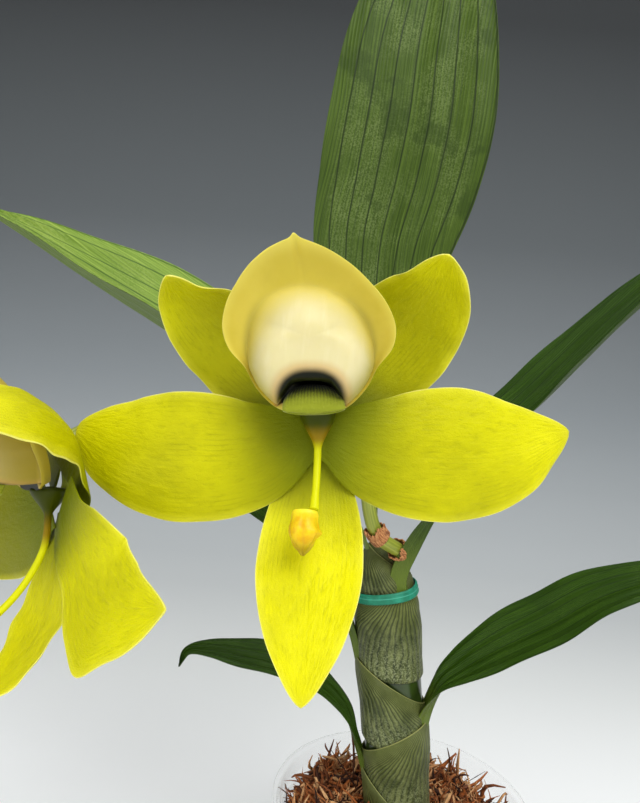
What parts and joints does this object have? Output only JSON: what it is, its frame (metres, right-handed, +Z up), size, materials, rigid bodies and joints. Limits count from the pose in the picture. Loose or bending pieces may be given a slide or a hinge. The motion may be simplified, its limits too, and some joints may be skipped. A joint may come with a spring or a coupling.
{
  "type": "potted swan orchid",
  "caption": "Swan orchid in flower, with a leafy sheathed pseudobulb, pleated leaves, an arching flower stem and large yellow blooms with a cream lip, in a clear plastic pot of moss",
  "frame": {"origin": "centre of the pot's flat underside, on the surface that the pot stands on", "axes": "+Z up, along the plant's height, its longest extent; -Z out of the pot's underside; the blooms face -Y; +X to the right of someone who looks at the blooms"},
  "size_m": [0.2687, 0.1837, 0.4743],
  "materials": {
    "clear_plastic": "thin clear plastic, glossy",
    "moss": "dried moss fibre, matt and rust brown",
    "pseudobulb": "smooth fleshy green skin with a light gloss",
    "leaf": "pleated green leaf, semi-gloss",
    "tie": "soft teal green plastic",
    "stem": "smooth green flower stem, semi-gloss",
    "bract": "dried papery bract, matt",
    "tepal": "fleshy waxy chartreuse yellow",
    "lip": "waxy cream with a lemon edge",
    "callus": "velvety dark green",
    "column": "waxy yellow green",
    "anther": "waxy golden yellow"
  },
  "bodies": {
    "root": {"pot": "clear_plastic", "growing_medium": "moss", "pseudobulb": "pseudobulb", "leaf_lower_left": "leaf", "leaf_lower_right": "leaf", "leaf_middle_left": "leaf", "leaf_upper_right": "leaf", "leaf_upper_left": "leaf", "leaf_top": "leaf", "plant_tie": "tie", "flower_stem": "stem", "bract_lower": "bract", "bract_upper": "bract", "bloom_front_sepal_lower": "tepal", "bloom_front_sepal_left": "tepal", "bloom_front_sepal_right": "tepal", "bloom_front_petal_left": "tepal", "bloom_front_petal_right": "tepal", "bloom_front_lip": "lip", "bloom_front_callus": "callus", "bloom_front_column": "column", "bloom_front_anther_cap": "anther", "bloom_side_sepal_lower": "tepal", "bloom_side_sepal_left": "tepal", "bloom_side_sepal_right": "tepal", "bloom_side_petal_left": "tepal", "bloom_side_petal_right": "tepal", "bloom_side_lip": "lip", "bloom_side_callus": "callus", "bloom_side_column": "column", "bloom_side_anther_cap": "anther"}
  },
  "joints": []
}
